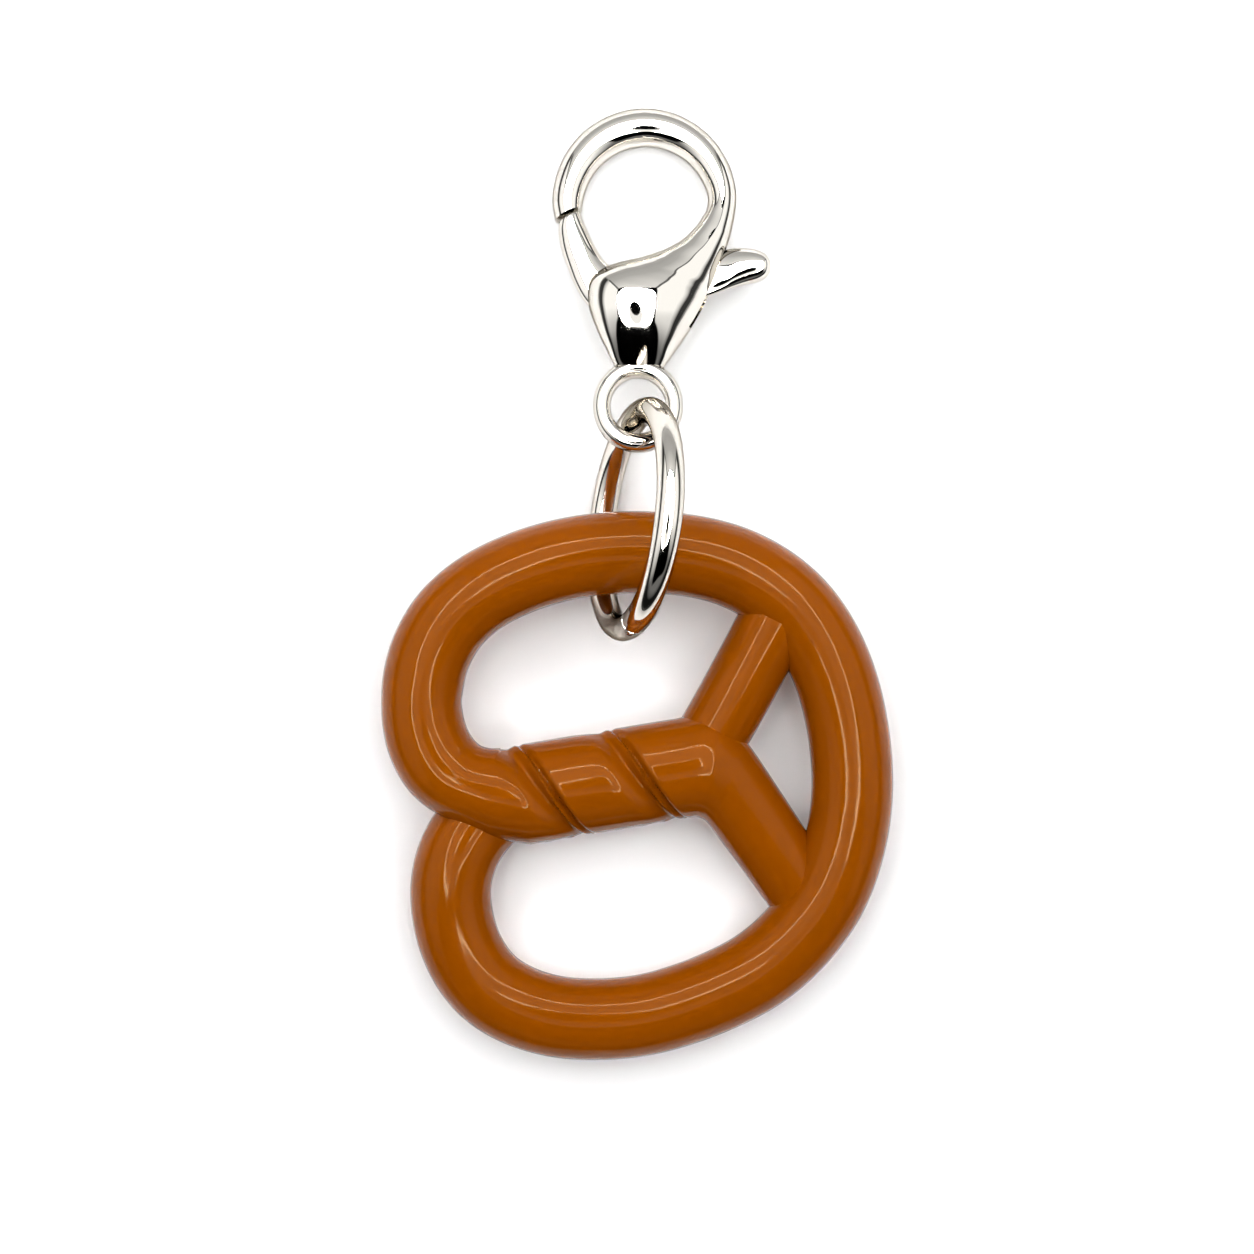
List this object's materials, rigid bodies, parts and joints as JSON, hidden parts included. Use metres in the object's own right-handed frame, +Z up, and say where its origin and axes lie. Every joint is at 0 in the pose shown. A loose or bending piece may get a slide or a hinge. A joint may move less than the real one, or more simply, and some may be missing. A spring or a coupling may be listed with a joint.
{
  "type": "toy pretzel charm",
  "caption": "Moulded plastic pretzel with a twisted middle, hung on a round wire ring from a metal lobster clasp with a sprung gate.",
  "frame": {"origin": "middle of the bounding box, on the surface it lies on", "axes": "+Z up, out of the shown face; +Y from the pretzel to the clasp; +X to the thumb lever's side"},
  "size_m": [0.0328, 0.0618, 0.0148],
  "materials": {
    "pretzel_plastic": "glossy caramel brown moulded plastic",
    "ring_nickel": "bright nickel plate on steel wire",
    "clasp_nickel": "bright nickel plate on zinc casting",
    "gate_nickel": "bright nickel plate on zinc casting",
    "pin_nickel": "plain nickel plate"
  },
  "bodies": {
    "clasp": {"clasp_body": "clasp_nickel", "clasp_pin": "pin_nickel"},
    "gate": {"clasp_gate": "gate_nickel"},
    "link": {"ring": "ring_nickel"},
    "charm": {"pretzel": "pretzel_plastic"}
  },
  "joints": [
    {"name": "gate_hinge", "type": "hinge", "parent": "clasp", "child": "gate", "pos_m": [-0.00114, 0.01788, 0.00354], "axis": [0, -0.2079, -0.9781], "range_deg": [0, 20], "stiffness_Nm_per_rad": 0.004, "springref_deg": -28.65},
    {"name": "ring_swing", "type": "hinge", "parent": "clasp", "child": "link", "pos_m": [0.00006, 0.00872, 0.00549], "axis": [1, 0, 0], "range_deg": [-50, 30]},
    {"name": "pretzel_swing", "type": "hinge", "parent": "link", "child": "charm", "pos_m": [-0.0012, -0.00181, 0.00506], "axis": [0.2961, -0.0343, 0.9545], "range_deg": [-30, 30]}
  ]
}
